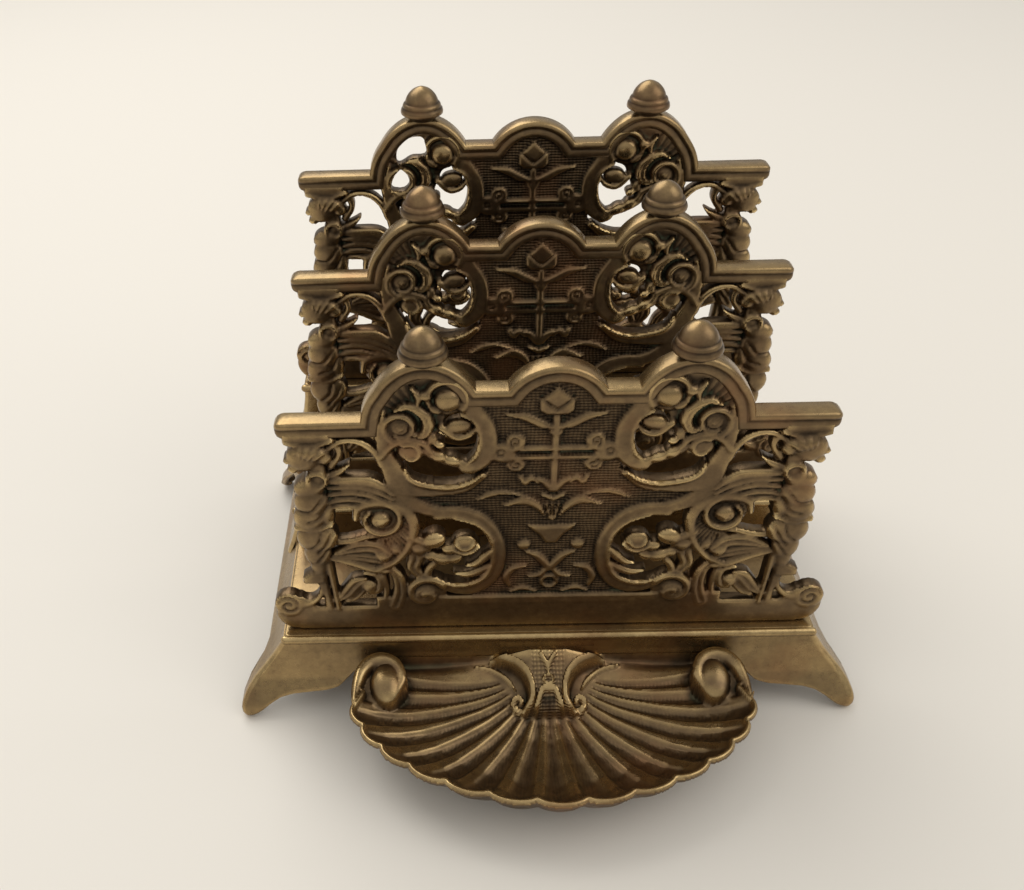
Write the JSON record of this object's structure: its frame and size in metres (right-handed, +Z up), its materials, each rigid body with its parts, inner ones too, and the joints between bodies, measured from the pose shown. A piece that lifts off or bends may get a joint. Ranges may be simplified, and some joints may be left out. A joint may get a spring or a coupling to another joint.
{
  "type": "letter holder",
  "caption": "Cast-brass letter rack with a stepped base on splayed feet, pierced scrollwork plates with finials, and a scallop-shell tray in front.",
  "frame": {"origin": "on the floor, at the centre of the rack's outline in plan", "axes": "+X across the rack to the viewer's right, +Y from the shell tray to the rear plate, +Z up"},
  "size_m": [0.202, 0.1784, 0.1721],
  "materials": {
    "cast_brass": "aged and worn",
    "fasteners": "dull"
  },
  "bodies": {
    "root": {"base": "cast_brass", "shell_tray": "cast_brass", "front_plate": "cast_brass", "middle_plate": "cast_brass", "rear_plate": "cast_brass", "front_plate_nuts": "fasteners", "middle_plate_nuts": "fasteners", "rear_plate_nuts": "fasteners", "tray_screws": "fasteners"}
  },
  "joints": []
}
